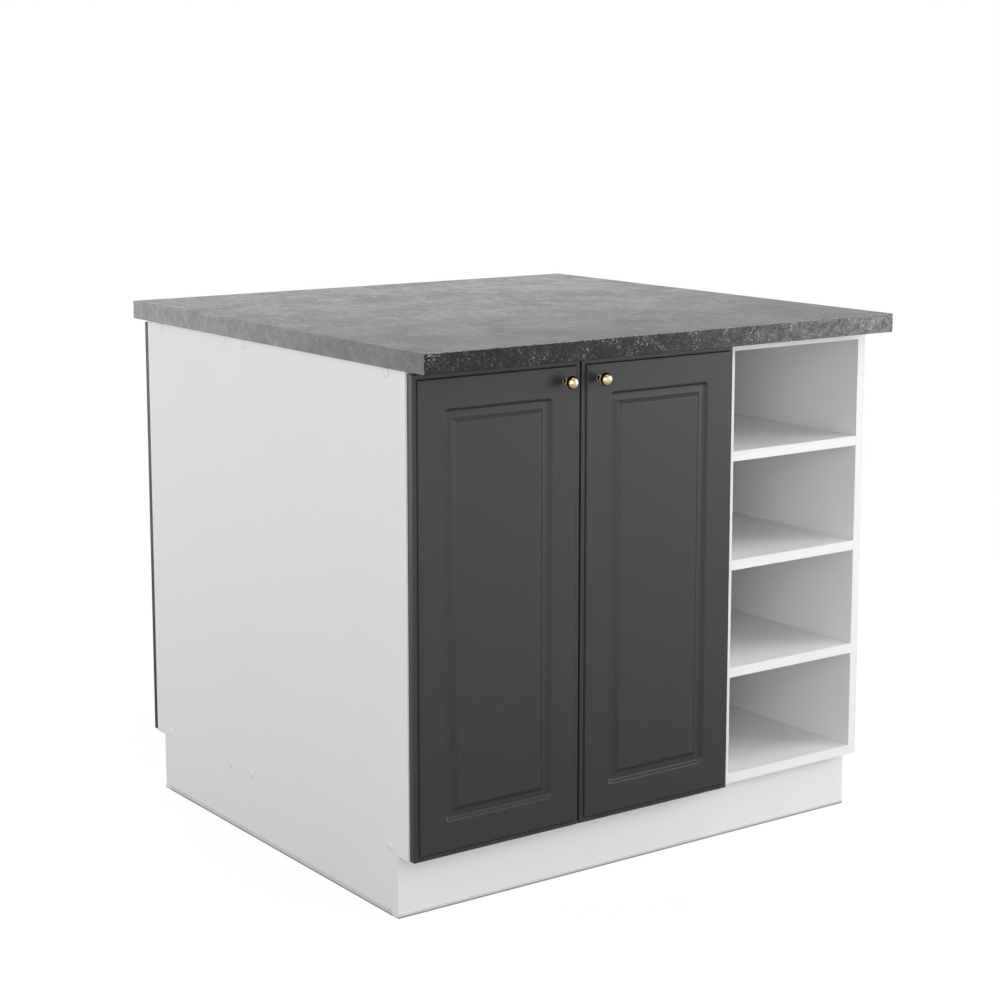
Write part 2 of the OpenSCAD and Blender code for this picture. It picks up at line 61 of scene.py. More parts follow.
class Nodes:
    """Short calls that add nodes to a tree and give back their outputs."""

    def __init__(self, tree):
        self.tree = tree
        self.coordinates = self.node("ShaderNodeTexCoord").outputs
        self.place = self.coordinates["Object"]

    def node(self, kind, **settings):
        made = self.tree.nodes.new(kind)
        for key, value in settings.items():
            setattr(made, key, value)
        return made

    def link(self, source, target):
        self.tree.links.new(source, target)

    def feed(self, socket, value):
        """Links an output to the socket, or sets the socket to a plain value."""
        if isinstance(value, bpy.types.NodeSocket):
            self.link(value, socket)
        else:
            socket.default_value = value

    def math(self, operation, a, b=0.0):
        made = self.node("ShaderNodeMath", operation=operation)
        self.feed(made.inputs[0], a)
        self.feed(made.inputs[1], b)
        return made.outputs[0]

    def spread(self, value, low, high, to_low=0.0, to_high=1.0):
        """Maps low..high to to_low..to_high with a soft start and end."""
        made = self.node("ShaderNodeMapRange", interpolation_type="SMOOTHSTEP")
        self.feed(made.inputs["Value"], value)
        self.feed(made.inputs["From Min"], low)
        self.feed(made.inputs["From Max"], high)
        self.feed(made.inputs["To Min"], to_low)
        self.feed(made.inputs["To Max"], to_high)
        return made.outputs["Result"]

    def axis(self, name, vector=None):
        made = self.node("ShaderNodeSeparateXYZ")
        self.link(vector or self.place, made.inputs[0])
        return made.outputs[name]


class Shader(Nodes):
    """A material with a Principled shader and the patterns that feed it."""

    def __init__(self, name, color=(0.8, 0.8, 0.8), roughness=0.5, metallic=0.0, ior=1.5):
        self.material = bpy.data.materials.new(name)
        self.material.use_nodes = True
        super().__init__(self.material.node_tree)
        self.surface = self.tree.nodes["Principled BSDF"]
        self.surface.inputs["Base Color"].default_value = (*color, 1)
        self.surface.inputs["Roughness"].default_value = roughness
        self.surface.inputs["Metallic"].default_value = metallic
        self.surface.inputs["IOR"].default_value = ior

    def noise(self, scale, detail=4.0, roughness=0.5, distortion=0.0, stretch=None):
        made = self.node("ShaderNodeTexNoise")
        made.inputs["Scale"].default_value = scale
        made.inputs["Detail"].default_value = detail
        made.inputs["Roughness"].default_value = roughness
        made.inputs["Distortion"].default_value = distortion
        self.link(self.stretched(stretch) if stretch else self.place, made.inputs["Vector"])
        return made.outputs["Fac"]

    def stretched(self, scale):
        made = self.node("ShaderNodeMapping")
        made.inputs["Scale"].default_value = scale
        self.link(self.place, made.inputs["Vector"])
        return made.outputs["Vector"]

    def warped(self, reach, scale):
        """The place moved about by a noise, so that straight patterns run crooked."""
        wobble = self.node("ShaderNodeTexNoise")
        wobble.inputs["Scale"].default_value = scale
        self.link(self.place, wobble.inputs["Vector"])
        shift = self.node("ShaderNodeVectorMath", operation="SCALE")
        shift.inputs["Scale"].default_value = reach
        self.link(wobble.outputs["Color"], shift.inputs[0])
        total = self.node("ShaderNodeVectorMath", operation="ADD")
        self.link(self.place, total.inputs[0])
        self.link(shift.outputs[0], total.inputs[1])
        return total.outputs[0]

    def cells(self, scale, feature, place):
        made = self.node("ShaderNodeTexVoronoi", feature=feature)
        made.inputs["Scale"].default_value = scale
        self.link(place, made.inputs["Vector"])
        return made.outputs["Distance"]

    def mix(self, amount, a, b, blend="MIX"):
        made = self.node("ShaderNodeMix", data_type="RGBA", blend_type=blend)
        self.feed(made.inputs["Factor"], amount)
        for socket, value in ((made.inputs[6], a), (made.inputs[7], b)):
            self.feed(socket, value if isinstance(value, bpy.types.NodeSocket) else (*value, 1))
        return made.outputs[2]

    def toned(self, color, pattern, low, high, darkest, palest):
        """The color times a gray that runs from darkest to palest as the pattern goes from low to high."""
        gray = self.node("ShaderNodeCombineColor")
        level = self.spread(pattern, low, high, darkest, palest)
        for socket in gray.inputs[:3]:
            self.link(level, socket)
        return self.mix(1.0, color, gray.outputs[0], "MULTIPLY")

    def color(self, value):
        self.link(value, self.surface.inputs["Base Color"])

    def roughness(self, value):
        self.link(value, self.surface.inputs["Roughness"])

    def bump(self, height, distance, strength):
        made = self.node("ShaderNodeBump")
        made.inputs["Distance"].default_value = distance
        made.inputs["Strength"].default_value = strength
        self.link(height, made.inputs["Height"])
        self.link(made.outputs["Normal"], self.surface.inputs["Normal"])


# ---------------------------------------------------------------- materials

def white_board():
    """Melamine-faced board: fine pearl grain, hardly any colour of its own."""
    s = Shader("white_board", roughness=0.42)
    clouds = s.noise(3.0, detail=3)
    s.color(s.mix(clouds, (0.80, 0.80, 0.805), (0.825, 0.825, 0.83)))
    s.roughness(s.spread(s.noise(22.0), 0.3, 0.7, 0.38, 0.46))
    s.bump(s.noise(1400.0, detail=2), 0.05 * MM, 0.35)
    return s.material


def white_hardboard():
    """Painted hardboard of the back panels, with a faint fibre pattern."""
    s = Shader("white_hardboard", roughness=0.55)
    fibres = s.noise(500.0, detail=3, stretch=(1, 1, 0.25))
    s.color(s.mix(fibres, (0.74, 0.74, 0.745), (0.79, 0.79, 0.795)))
    s.bump(fibres, 0.08 * MM, 0.5)
    return s.material


def anthracite_film():
    """Satin film drawn over the milled fronts."""
    s = Shader("anthracite_film", roughness=0.36, ior=1.45)
    clouds = s.noise(9.0, detail=4)
    s.color(s.mix(clouds, (0.0286, 0.0292, 0.0309), (0.0314, 0.0320, 0.0339)))
    s.roughness(s.spread(s.noise(60.0, detail=5), 0.3, 0.7, 0.33, 0.39))
    grain = s.noise(2200.0, detail=3)
    peel = s.noise(160.0, detail=2)
    s.bump(s.math("ADD", grain, s.math("MULTIPLY", peel, 1.6)), 0.035 * MM, 0.5)
    return s.material


def crackle(s, mottle):
    """Pale crackle lines in clusters, with fine dots between them. 1 is on a line or a dot."""
    crooked = s.warped(0.004, 210.0)
    web = s.spread(s.cells(200.0, "DISTANCE_TO_EDGE", crooked), 0.02, 0.075, 1.0, 0.0)
    web = s.math("MULTIPLY", web, s.spread(s.noise(290.0, detail=2), 0.47, 0.58))
    clusters = s.noise(21.0, detail=5, roughness=0.6, distortion=0.6)
    web = s.math("MULTIPLY", web, s.spread(clusters, 0.50, 0.63))
    dots = s.spread(s.cells(480.0, "F1", crooked), 0.18, 0.34, 1.0, 0.0)
    dots = s.math("MULTIPLY", dots, s.spread(s.noise(340.0, detail=2), 0.52, 0.61))
    dots = s.math("MULTIPLY", dots, s.spread(mottle, 0.42, 0.62, 0.22, 0.95))
    return s.math("MAXIMUM", web, dots)


def wisps(s):
    """Thin pale drifts along the zero lines of a noise, broken up by another. 1 is on a drift."""
    drift = s.noise(11.0, detail=7, roughness=0.62, distortion=0.9)
    ridge = s.math("ABSOLUTE", s.math("SUBTRACT", drift, 0.5))
    line = s.spread(ridge, 0.0, 0.026, 1.0, 0.0)
    return s.math("MULTIPLY", line, s.spread(s.noise(30.0, detail=5), 0.45, 0.60))


def stone_laminate():
    """Slate-like decor with pale crackle, with light and shade painted in: dark on the long edges, paler on
    the top and the end edges as lit faces, darker towards the front, paler towards the right, and a painted
    highlight on the upper arris of the long edges.
    """
    s = Shader("stone_laminate", roughness=0.40, ior=1.32)
    clouds = s.noise(7.0, detail=9, roughness=0.70, distortion=0.3)
    mottle = s.noise(60.0, detail=9, roughness=0.70, distortion=0.3)
    fine = s.noise(230.0, detail=6, roughness=0.75)
    grain = s.noise(800.0, detail=3, roughness=0.80)
    pale = crackle(s, mottle)

    # Painted light on the long edges: their decor runs from near black at the left end to paler towards the
    # right (+X), where light falls.
    dark = s.mix(s.spread(s.axis("X"), -0.10, 0.55), (0.0112, 0.0125, 0.0117), (0.138, 0.140, 0.137))
    dark = s.toned(dark, mottle, 0.34, 0.66, 0.62, 1.44)
    dark = s.toned(dark, fine, 0.30, 0.70, 0.56, 1.56)
    dark = s.toned(dark, grain, 0.25, 0.75, 0.45, 1.65)
    dark = s.mix(s.math("MULTIPLY", pale, 0.90), dark, (0.54, 0.56, 0.54))

    # The top and the end edges get a paler decor than the long edges: painted light, as faces where light
    # falls.
    light = s.mix(s.spread(clouds, 0.36, 0.64), (0.109, 0.109, 0.109), (0.195, 0.195, 0.1945))
    light = s.toned(light, mottle, 0.34, 0.66, 0.66, 1.40)
    light = s.toned(light, fine, 0.30, 0.70, 0.62, 1.50)
    light = s.toned(light, grain, 0.25, 0.75, 0.60, 1.45)
    light = s.mix(s.math("MULTIPLY", wisps(s), 0.55), light, (0.36, 0.36, 0.355))
    light = s.mix(s.math("MULTIPLY", pale, 0.22), light, (0.50, 0.50, 0.49))

    facing = s.node("ShaderNodeNewGeometry").outputs["Normal"]
    along_x = s.math("ABSOLUTE", s.axis("X", facing))
    along_y = s.math("ABSOLUTE", s.axis("Y", facing))
    long_edge = s.spread(along_y, 0.35, 0.75)
    end_edge = s.spread(along_x, 0.35, 0.75)
    # Painted light on the end edges: greyed over here and made paler below, as faces where light falls.
    light = s.mix(s.math("MULTIPLY", end_edge, 0.6), light, (0.148, 0.148, 0.1475))
    # Painted shade and light on the top and the end edges: darker towards the front, a little paler towards
    # the right.
    light = s.toned(light, s.axis("Y"), -0.45, 0.35, 0.60, 1.10)
    light = s.toned(light, s.axis("X"), -0.40, 0.25, 1.0, 1.09)
    light = s.toned(light, end_edge, 0.0, 1.0, 1.0, 1.74)

    # Painted highlight along the upper arris of the long edges, made ragged by a noise.
    arris_highlight = s.math("MULTIPLY", s.spread(along_y, 0.04, 0.25), s.spread(s.axis("Z", facing), 0.15, 0.5))
    arris_highlight = s.math("MULTIPLY", arris_highlight, s.spread(s.noise(260.0, detail=4), 0.44, 0.56))
    # Painted light: the dark decor on the long edges, the pale one on the top and the end edges.
    decor = s.mix(long_edge, light, dark)
    s.color(s.mix(s.math("MULTIPLY", arris_highlight, 0.7), decor, (0.42, 0.42, 0.41)))
    s.roughness(s.spread(mottle, 0.3, 0.7, 0.37, 0.45))
    s.bump(s.math("ADD", s.math("MULTIPLY", mottle, 1.2), fine), 0.12 * MM, 0.5)
    return s.material


def backing_paper():
    """Brown-grey balancing sheet under the worktop."""
    s = Shader("backing_paper", roughness=0.7)
    s.color(s.mix(s.noise(120.0, detail=5), (0.09, 0.085, 0.08), (0.14, 0.13, 0.12)))
    return s.material


def brass(name, light, dark, roughness):
    """Burnished brass with brown blotches of patina. The near-black copy made with it for the knobs is
    painted shade and dark reflection, laid on their hollows, rims and rosettes.
    """
    s = Shader(name, metallic=1.0, roughness=roughness)
    patina = s.noise(260.0, detail=5, roughness=0.65)
    s.color(s.mix(s.spread(patina, 0.40, 0.72), light, dark))
    s.roughness(s.spread(s.noise(500.0, detail=4), 0.3, 0.7, roughness - 0.05, roughness + 0.10))
    s.bump(s.noise(900.0, detail=3), 0.04 * MM, 0.4)
    return s.material


def plated_steel():
    """Bright nickel plating over pressed steel, with a fine brushed grain."""
    s = Shader("plated_steel", metallic=1.0, roughness=0.27)
    grain = s.noise(1500.0, detail=3, stretch=(1, 0.08, 0.3))
    s.color(s.mix(grain, (0.55, 0.56, 0.57), (0.70, 0.70, 0.71)))
    s.roughness(s.spread(s.noise(80.0), 0.3, 0.7, 0.22, 0.34))
    s.bump(grain, 0.02 * MM, 0.4)
    return s.material


def moulded_plastic(name, color, roughness):
    s = Shader(name, roughness=roughness)
    tint = tuple(c * 0.95 for c in color)
    s.color(s.mix(s.noise(90.0), color, tint))
    s.bump(s.noise(1800.0, detail=2), 0.02 * MM, 0.4)
    return s.material


def sealing_strip():
    """Pale strip, painted dark up to about 3 mm above the floor: a painted contact shadow."""
    s = Shader("strip_plastic", roughness=0.35)
    # Painted contact shadow: darker up to 3 mm above the floor.
    contact_shade = s.spread(s.axis("Z"), 2.2 * MM, 3.0 * MM, 1.0, 0.0)
    body = s.mix(s.noise(90.0), (0.66, 0.66, 0.665), (0.70, 0.70, 0.705))
    s.color(s.mix(contact_shade, body, (0.29, 0.29, 0.295)))
    s.bump(s.noise(1800.0, detail=2), 0.02 * MM, 0.4)
    return s.material


WHITE = white_board()
HARDBOARD = white_hardboard()
FILM = anthracite_film()
STONE = stone_laminate()
PAPER = backing_paper()
BRASS = brass("brass_bright", (0.86, 0.70, 0.46), (0.36, 0.25, 0.13), 0.19)
# Near-black brass for the knobs' painted shade and dark reflection.
BRASS_PAINTED_SHADE = brass("brass_painted_shade", (0.060, 0.042, 0.026), (0.022, 0.016, 0.012), 0.40)
STEEL = plated_steel()
CAP = moulded_plastic("cap_plastic", (0.80, 0.80, 0.80), 0.33)
STRIP = sealing_strip()


# ---------------------------------------------------------------- mesh helpers

def piece(name, mesh, body, slot, materials, *replaced):
    """Puts a finished mesh into the scene, on its body and in place of CAD nodes."""
    made = bpy.data.objects.new(name, mesh)
    scene.collection.objects.link(made)
    for material in materials:
        mesh.materials.append(material)
    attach(made, body)
    if replaced:
        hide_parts(*replaced)


def smooth(mesh, angle):
    mesh.shade_smooth()
    mesh.set_sharp_from_angle(angle=math.radians(angle))


SHORTEST_EASED = 6 * MM
FLATTEST_EASED = math.radians(30)
FLAT = math.radians(0.5)


def eased_copy(node, ease):
    """A copy of a CAD node's mesh with its longer outer edges eased."""
    bm = bmesh.new()
    bm.from_mesh(nodes[node].data)
    bmesh.ops.remove_doubles(bm, verts=bm.verts, dist=TINY)
    bmesh.ops.dissolve_limit(bm, angle_limit=FLAT, verts=bm.verts, edges=bm.edges)
    outer = [e for e in bm.edges
             if e.is_manifold and e.calc_length() > SHORTEST_EASED
             and e.calc_face_angle_signed(0) > FLATTEST_EASED]
    bmesh.ops.bevel(bm, geom=outer, offset=ease, segments=2, profile=0.5, affect="EDGES")
    mesh = bpy.data.meshes.new(node + "_eased")
    bm.to_mesh(mesh)
    bm.free()
    return mesh


def eased_piece(node, body, slot, material, ease, angle=None):
    """The eased copy in place of its CAD node, shaded smooth up to the angle if one is given."""
    mesh = eased_copy(node, ease)
    mesh.materials.clear()
    if angle:
        smooth(mesh, angle)
    piece(node + "_finished", mesh, body, slot, [material], node)


def lathe(bm, outline, origin, axis, parts=None, steps=64):
    """Turns an outline of (radius, height) about an axis. parts gives each stretch its material."""
    axis = Vector(axis).normalized()
    side = axis.orthogonal().normalized()
    other = axis.cross(side)
    rings = []
    for radius, height in outline:
        centre = Vector(origin) + axis * height
        if radius < TINY:
            rings.append([bm.verts.new(centre)])
            continue
        turn = [2 * math.pi * i / steps for i in range(steps)]
        rings.append([bm.verts.new(centre + (side * math.cos(a) + other * math.sin(a)) * radius)
                      for a in turn])
    for k, (low, high) in enumerate(zip(rings, rings[1:])):
        for i in range(steps):
            j = (i + 1) % steps
            corners = [low[i % len(low)], low[j % len(low)], high[j % len(high)], high[i % len(high)]]
            corners = list(dict.fromkeys(corners))
            face = bm.faces.new(corners)
            face.smooth = True
            face.material_index = parts[k] if parts else 0


def arc(cx, cy, radius, start, end, steps):
    """Points on a circle from one angle to another, in degrees."""
    angles = [math.radians(start + (end - start) * i / steps) for i in range(steps + 1)]
    return [(cx + radius * math.cos(a), cy + radius * math.sin(a)) for a in angles]


# ---------------------------------------------------------------- doors

LEDGE_IN = 9.5 * MM
LEDGE_DEEP = 2.6 * MM
LEDGE_LINE_DEEP = 0.8 * MM
GROOVE_IN = 52 * MM
GROOVE_DEEP = 4.4 * MM
GROOVE_OUTER = 5.6 * MM
GROOVE_FLOOR = 9.4 * MM
GROOVE_CORNER = 8 * MM
FIELD_SLOPE = 7 * MM
EDGE_ROUND = 1.6 * MM
SHARP_CORNER = 0.3 * MM
HOLD = 0.25 * MM
RAMP_STEPS = 8
RAMP_ROUND = 0.8
CORNER_STEPS = 8


def ramp(start, end):
    """An S-shaped run between two (inset, depth) points."""
    (s0, d0), (s1, d1) = start, end
    out = []
    for i in range(RAMP_STEPS + 1):
        t = i / RAMP_STEPS
        eased = t * t * (3 - 2 * t)
        out.append((s0 + (s1 - s0) * t, d0 + (d1 - d0) * (RAMP_ROUND * eased + (1 - RAMP_ROUND) * t)))
    return out


def door_profile(thick):
    """(inset, depth) of the loops from the back's edge round the front to the centre field."""
    back = [(1.0 * MM, thick), (0.3 * MM, thick - 0.1 * MM), (0, thick - 0.6 * MM)]
    edge = arc(EDGE_ROUND, LEDGE_DEEP + EDGE_ROUND, EDGE_ROUND, 180, 270, 6)
    foot = LEDGE_IN - 1.7 * MM
    line = LEDGE_DEEP + LEDGE_LINE_DEEP
    ledge = [
        (EDGE_ROUND + HOLD, LEDGE_DEEP),
        (foot - 1.0 * MM, LEDGE_DEEP),
        (foot - 0.4 * MM, line),
        (foot + 0.1 * MM, line),
        (foot + 0.4 * MM, LEDGE_DEEP - 0.2 * MM),
        (LEDGE_IN - 0.6 * MM, 0.42 * MM),
        (LEDGE_IN - 0.25 * MM, 0.1 * MM),
        (LEDGE_IN, 0),
        (LEDGE_IN + HOLD, 0),
    ]
    floor_start = GROOVE_IN + GROOVE_OUTER
    floor_end = floor_start + GROOVE_FLOOR
    top = floor_end + FIELD_SLOPE
    groove = [
        (GROOVE_IN - HOLD, 0),
        *ramp((GROOVE_IN, 0), (floor_start, GROOVE_DEEP)),
        (floor_start + HOLD, GROOVE_DEEP),
        (floor_end - HOLD, GROOVE_DEEP),
        (floor_end, GROOVE_DEEP - 0.05 * MM),
        (floor_end + 0.6 * MM, GROOVE_DEEP - 0.5 * MM),
        (top - 1.1 * MM, 0.55 * MM),
        (top - 0.5 * MM, 0.14 * MM),
        (top, 0),
        (top + HOLD, 0),
    ]
    return back + edge + ledge + groove


def corner_radius(inset):
    """Plan radius of a loop's corners: nearly sharp outside, rounded at the groove's outer edge."""
    if inset < GROOVE_IN - 2 * HOLD:
        return SHARP_CORNER
    return max(SHARP_CORNER, GROOVE_CORNER - (inset - GROOVE_IN))


def loop_points(width, height, inset):
    """A rounded rectangle, with the same number of points for every inset."""
    radius = corner_radius(inset)
    near = inset + radius
    right, top = width - near, height - near
    points = []
    for cx, cy, start in ((right, near, -90), (right, top, 0), (near, top, 90), (near, near, 180)):
        points += arc(cx, cy, radius, start, start + 90, CORNER_STEPS)
    return points


def door_mesh(name):
    """The front as rings of points, from the back's edge round to the centre field."""
    low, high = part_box(name + "_door")
    size = high - low
    rear = low.y > 0
    turn = -1 if rear else 1
    corner = Vector((high.x if rear else low.x, high.y if rear else low.y, low.z))

    def to_place(u, depth, v):
        return corner + Vector((turn * u, turn * depth, v))

    bm = bmesh.new()
    loops = []
    for inset, depth in door_profile(size.y):
        loops.append([bm.verts.new(to_place(u, depth, v)) for u, v in loop_points(size.x, size.z, inset)])
    count = len(loops[0])
    for outer, inner in zip(loops, loops[1:]):
        for i in range(count):
            j = (i + 1) % count
            bm.faces.new((outer[i], outer[j], inner[j], inner[i]))
    bm.faces.new(loops[-1])
    bm.faces.new(list(reversed(loops[0])))
    bmesh.ops.recalc_face_normals(bm, faces=bm.faces)
    mesh = bpy.data.meshes.new(name + "_front")
    bm.to_mesh(mesh)
    bm.free()
    return mesh


EAR_REACH = 30 * MM
CUP_PLAY = 0.1 * MM
CUP_DEEP = 11.6 * MM
CUTTER_PAST = 2 * MM


def cup_cutter(name):
    """Two round plugs where the hinge cups sit in the door's back."""
    low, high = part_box(name + "_hinge_cups")
    rear = low.y > 0
    door_low, door_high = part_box(name + "_door")
    back_y = door_low.y if rear else door_high.y
    outward = -1 if rear else 1
    radius = (high.x - low.x) / 2 + CUP_PLAY
    bm = bmesh.new()
    for z in (low.z + EAR_REACH, high.z - EAR_REACH):
        origin = ((low.x + high.x) / 2, back_y - outward * CUP_DEEP, z)
        top = CUP_DEEP + CUTTER_PAST
        lathe(bm, [(0, 0), (radius, 0), (radius, top), (0, top)], origin, (0, outward, 0), steps=48)
    bmesh.ops.recalc_face_normals(bm, faces=bm.faces)
    mesh = bpy.data.meshes.new(name + "_plugs")
    bm.to_mesh(mesh)
    bm.free()
    return bpy.data.objects.new(name + "_plugs", mesh)


def cut(mesh, cutter, name):
    """The mesh with the cutter's volume taken out of it."""
    body = bpy.data.objects.new(name + "_uncut", mesh)
    for made in (body, cutter):
        scene.collection.objects.link(made)
    modifier = body.modifiers.new("cut", "BOOLEAN")
    modifier.operation = "DIFFERENCE"
    modifier.solver = "EXACT"
    modifier.object = cutter
    ready = body.evaluated_get(bpy.context.evaluated_depsgraph_get())
    result = bpy.data.meshes.new_from_object(ready)
    for made in (body, cutter):
        bpy.data.objects.remove(made)
    return result


def make_door(name):
    """A milled front with its cup bores. Its back stays white, its front and edges are film."""
    mesh = cut(door_mesh(name), cup_cutter(name), name)
    mesh.materials.clear()
    inward = -1 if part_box(name + "_door")[0].y > 0 else 1
    for face in mesh.polygons:
        face.material_index = 1 if face.normal.y * inward > 0.9 else 0
    smooth(mesh, 40)
    body = name + "_door"
    piece(name + "_milled_front", mesh, body, "anthracite_front", [FILM, WHITE], name + "_door")


# ---------------------------------------------------------------- knobs

HEAD_HEIGHT = 9.5 * MM
HEAD_RADIUS = 10.0 * MM
RIM_HEIGHT = 2.2 * MM
DOME_STEPS = 24
# BRIGHT is the plain brass. DARK is painted shade and dark reflection: the rosette's back, the neck, the
# groove and underside of the head, and the head's rim with the lower DARK_STEPS steps of its dome.
DARK_STEPS = 8
BRIGHT, DARK = 0, 1


def knob_outline(height):
    """(radius, height) points and the material of each stretch: the plain brass, or the near-black brass that
    is painted shade and dark reflection.
    """
    head = height - HEAD_HEIGHT
    dome_low = head + RIM_HEIGHT
    dome = [(HEAD_RADIUS * math.cos(a), dome_low + (height - dome_low) * math.sin(a))
            for a in (math.pi / 2 * i / DOME_STEPS for i in range(DOME_STEPS + 1))]
    stretches = [
        ([(0, 0), (5.0 * MM, 0), (5.0 * MM, 0.7 * MM)], DARK),
        (arc(4.3 * MM, 0.8 * MM, 0.7 * MM, 0, 90, 5), BRIGHT),
        ([(4.0 * MM, 1.6 * MM), (3.6 * MM, 2.4 * MM), (3.3 * MM, 4.0 * MM), (3.2 * MM, 6.4 * MM),
          (3.5 * MM, 8.8 * MM), (4.4 * MM, 10.6 * MM), (5.8 * MM, 11.7 * MM), (7.4 * MM, 12.1 * MM)], DARK),
        (arc(8.0 * MM, 13.1 * MM, 0.9 * MM, -90, 90, 8), BRIGHT),
        ([(7.2 * MM, 14.2 * MM), (6.6 * MM, 14.8 * MM), (7.0 * MM, head + 0.1 * MM)], DARK),
        ([(9.2 * MM, head + 0.3 * MM)], DARK),
        (arc(9.2 * MM, head + 1.1 * MM, 0.8 * MM, -90, 0, 5), DARK),
        ([(HEAD_RADIUS, head + 1.9 * MM)], DARK),
        (dome[:DARK_STEPS], DARK),
        (dome[DARK_STEPS:], BRIGHT),
    ]
    outline, parts = [], []
    for points, part in stretches:
        for point in points:
            if outline:
                parts.append(part)
            outline.append(point)
    outline[-1] = (0, height)
    return outline, parts


def make_knob(name):
    low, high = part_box(name + "_knob")
    rear = low.y > 0
    base = Vector(((low.x + high.x) / 2, low.y if rear else high.y, (low.z + high.z) / 2))
    outline, parts = knob_outline(high.y - low.y)
    bm = bmesh.new()
    lathe(bm, outline, base, (0, 1 if rear else -1, 0), parts)
    bmesh.ops.recalc_face_normals(bm, faces=bm.faces)
    mesh = bpy.data.meshes.new(name + "_knob")
    bm.to_mesh(mesh)
    bm.free()
    smooth(mesh, 50)
    piece(name + "_turned_knob", mesh, name + "_door", "antique_brass", [BRASS, BRASS_PAINTED_SHADE], name + "_knob")


# ---------------------------------------------------------------- worktop

WORKTOP_EASE = 1.2 * MM


def make_worktop():
    low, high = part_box("worktop")
    bm = bmesh.new()
    bmesh.ops.create_cube(bm, size=1)
    bmesh.ops.scale(bm, vec=high - low, verts=bm.verts)
    bmesh.ops.translate(bm, vec=(low + high) / 2, verts=bm.verts)
    for face in bm.faces:
        face.material_index = 1 if face.normal.z < -0.5 else 0
    bmesh.ops.bevel(bm, geom=list(bm.edges), offset=WORKTOP_EASE, segments=4, profile=0.5, affect="EDGES")
    mesh = bpy.data.meshes.new("worktop_slab")
    bm.to_mesh(mesh)
    bm.free()
    piece("worktop_slab", mesh, "carcass", "worktop_laminate", [STONE, PAPER], "worktop")


# ---------------------------------------------------------------- caps

CAP_RADIUS = 6.5 * MM
CAP_HEIGHT = 1.4 * MM
CAP_RIM_ROUND = 0.4 * MM
CAP_RIM_HEIGHT = 0.6 * MM
CAP_DOME_SHARE = 0.92
CAP_DOME_STEPS = 8
CAP_TIP = 0.05 * MM


def make_caps():
    """A cap over each corner screw of the outer sides, at the places of the CAD node's domes."""
    cad = nodes["cover_caps"].data
    rims = {}
    outer = max(abs(v.co.x) for v in cad.vertices)
    for v in cad.vertices:
        if abs(v.co.x) > outer - CAP_TIP:
            key = (v.co.x > 0, round(v.co.y / MM), round(v.co.z / MM))
            rims[key] = v.co.copy()
    bm = bmesh.new()
    for (right, _, _), tip in sorted(rims.items()):
        way = 1 if right else -1
        origin = (tip.x - way * CAP_HEIGHT, tip.y, tip.z)
        rim = arc(CAP_RADIUS - CAP_RIM_ROUND, CAP_RIM_HEIGHT - CAP_RIM_ROUND, CAP_RIM_ROUND, 0, 70, 4)
        rise = CAP_HEIGHT - CAP_RIM_HEIGHT
        dome = [(CAP_DOME_SHARE * CAP_RADIUS * math.cos(a), CAP_RIM_HEIGHT + rise * math.sin(a))
                for a in (math.pi / 2 * i / CAP_DOME_STEPS for i in range(1, CAP_DOME_STEPS + 1))]
        dome[-1] = (0, CAP_HEIGHT)
        lathe(bm, [(0, 0), (CAP_RADIUS, 0)] + rim + dome, origin, (way, 0, 0), steps=40)
    bmesh.ops.recalc_face_normals(bm, faces=bm.faces)
    mesh = bpy.data.meshes.new("cover_caps_moulded")
    bm.to_mesh(mesh)
    bm.free()
    smooth(mesh, 50)
    piece("cover_caps_moulded", mesh, "carcass", "cap_plastic", [CAP], "cover_caps")


# ---------------------------------------------------------------- boards and fittings

BOARD_EASE = 0.35 * MM
SIDE_EASE = 0.12 * MM


def paint(node, material):
    """Gives its material to a CAD node that stays as it is."""
    slots = nodes[node].data.materials
    slots.clear()
    slots.append(material)


def make_boards():
    for name in sorted(nodes):
        if not name.startswith(tuple(CABINETS)) and not name.endswith("_plinth"):
            continue
        if name.endswith("_back"):
            paint(name, HARDBOARD)
        else:
            ease = SIDE_EASE if name.endswith("_side") else BOARD_EASE
            eased_piece(name, "carcass", "white_board", WHITE, ease)


def make_fittings():
    for name in ("hinge_arms", "hinge_plates"):
        eased_piece(name, "carcass", "hinge_steel", STEEL, 0.4 * MM, 40)
    for name in DOORS:
        eased_piece(name + "_hinge_cups", name + "_door", "hinge_steel", STEEL, 0.2 * MM, 40)
        paint(name + "_door_screws", STEEL)
    for name in ("hinge_plate_screws", "corner_screws", "shelf_pins", "cabinet_connectors", "worktop_screws"):
        paint(name, STEEL)
    eased_piece("floor_strips", "carcass", "strip_plastic", STRIP, 0.2 * MM)


# ---------------------------------------------------------------- floor, light and camera

FLOOR_SIZE = 60
FLOOR_LEVEL = 1.36
FLOOR_LIFT = 0.66
FLOOR_LIFT_GLOSSY = 0.08
FLOOR_FADE = (1.0, 2.6)
FLOOR_FADE_GLOSSY = (0.8, 3.6)
WORLD_LEVEL = 0.455
CEILING_FADE = (0.52, 0.66)
CEILING_GLOSSY = 0.2
LAMP_AIM = Vector((0, 0, 0.45))
LAMP_GAP = 0.02
# name, azimuth, elevation, distance, size, power, gloss share
SOFTBOXES = [
    ("front_left", -30, 12, 3.6, 2.4, 44, 0.5),
    ("front_right", 52, 12, 3.6, 1.8, 62, 0.54),
    ("rear_right", 163, 56, 3.4, 1.6, 34, 0.4),
    ("rear_left", -125, 12, 3.6, 2.4, 42, 0.9),
    ("overhead", 14, 62, 2.8, 1.2, 16, 0.95),
]
CAMERA_LENS = 78.73
CAMERA_SHIFT = -0.08
CAMERA_PLACE = (-2.108, -2.948, 1.223)
CAMERA_PITCH = 8.9
CAMERA_YAW = 35.5


